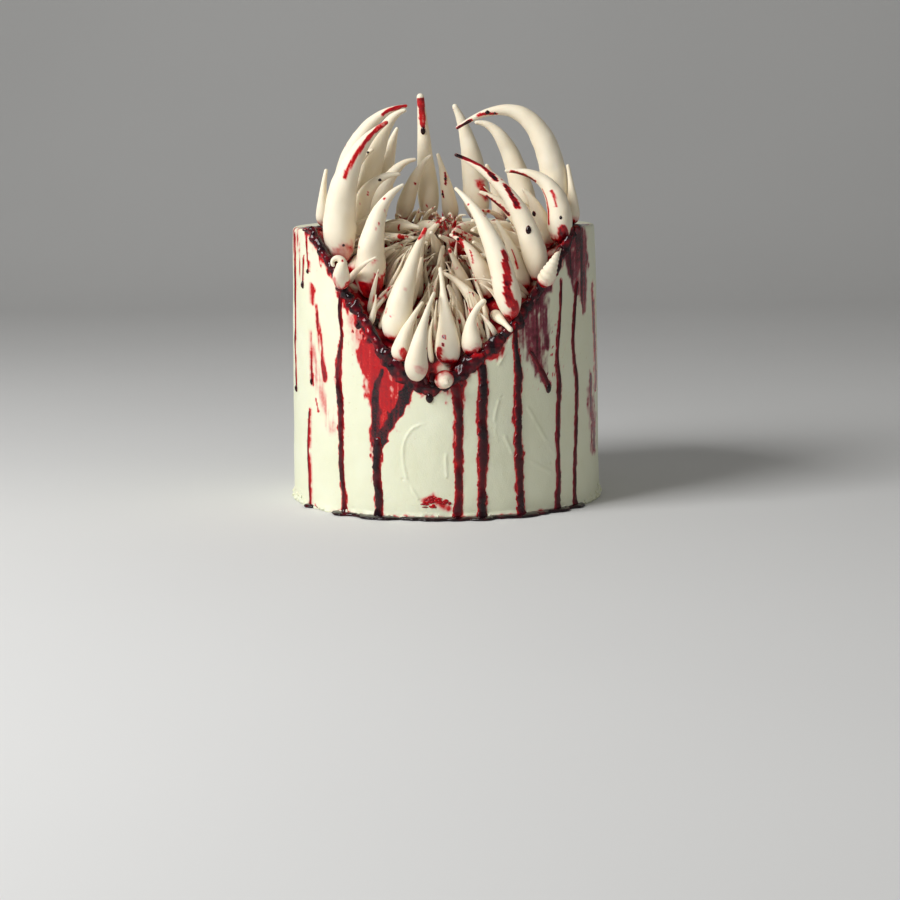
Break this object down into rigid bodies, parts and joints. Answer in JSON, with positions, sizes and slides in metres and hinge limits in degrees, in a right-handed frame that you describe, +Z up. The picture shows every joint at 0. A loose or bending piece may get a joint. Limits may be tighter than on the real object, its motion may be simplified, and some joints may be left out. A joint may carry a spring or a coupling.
{
  "type": "layer cake",
  "caption": "Tall round iced layer cake with a mouth carved into its top and front, filled with curved meringue fangs and run with dark berry sauce.",
  "frame": {"origin": "centre of the flat round base", "axes": "+Z up; the mouth opens towards -Y, which is the front; +X is to the right seen from the front"},
  "size_m": [0.1672, 0.1795, 0.216],
  "materials": {
    "icing": "smooth pale ivory buttercream with a soft sheen",
    "meringue": "dry matte meringue",
    "sauce": "wet glossy berry sauce, bright red where thin and near black where thick"
  },
  "bodies": {
    "root": {"iced_cake": "icing", "fang_01": "meringue", "fang_02": "meringue", "fang_03": "meringue", "fang_04": "meringue", "fang_05": "meringue", "fang_06": "meringue", "fang_07": "meringue", "fang_08": "meringue", "fang_09": "meringue", "fang_10": "meringue", "fang_11": "meringue", "fang_12": "meringue", "fang_13": "meringue", "fang_14": "meringue", "fang_15": "meringue", "fang_16": "meringue", "fang_17": "meringue", "fang_18": "meringue", "fang_19": "meringue", "fang_20": "meringue", "fang_21": "meringue", "fang_22": "meringue", "fang_23": "meringue", "fang_24": "meringue", "fang_25": "meringue", "fang_26": "meringue", "fang_27": "meringue", "fang_28": "meringue", "fang_29": "meringue", "fang_30": "meringue", "fang_31": "meringue", "fang_32": "meringue", "fang_33": "meringue", "fang_34": "meringue", "fang_35": "meringue", "fang_36": "meringue", "fang_37": "meringue", "fang_38": "meringue", "fang_39": "meringue", "fang_40": "meringue", "fang_41": "meringue", "fang_42": "meringue", "fang_43": "meringue", "fang_44": "meringue", "fang_45": "meringue", "fang_46": "meringue", "fang_47": "meringue", "fang_48": "meringue", "fang_49": "meringue", "fang_50": "meringue", "fang_51": "meringue", "fang_52": "meringue", "fang_53": "meringue", "fang_54": "meringue", "fang_55": "meringue", "fang_56": "meringue", "fang_57": "meringue", "fang_58": "meringue", "fang_59": "meringue"}
  },
  "joints": []
}
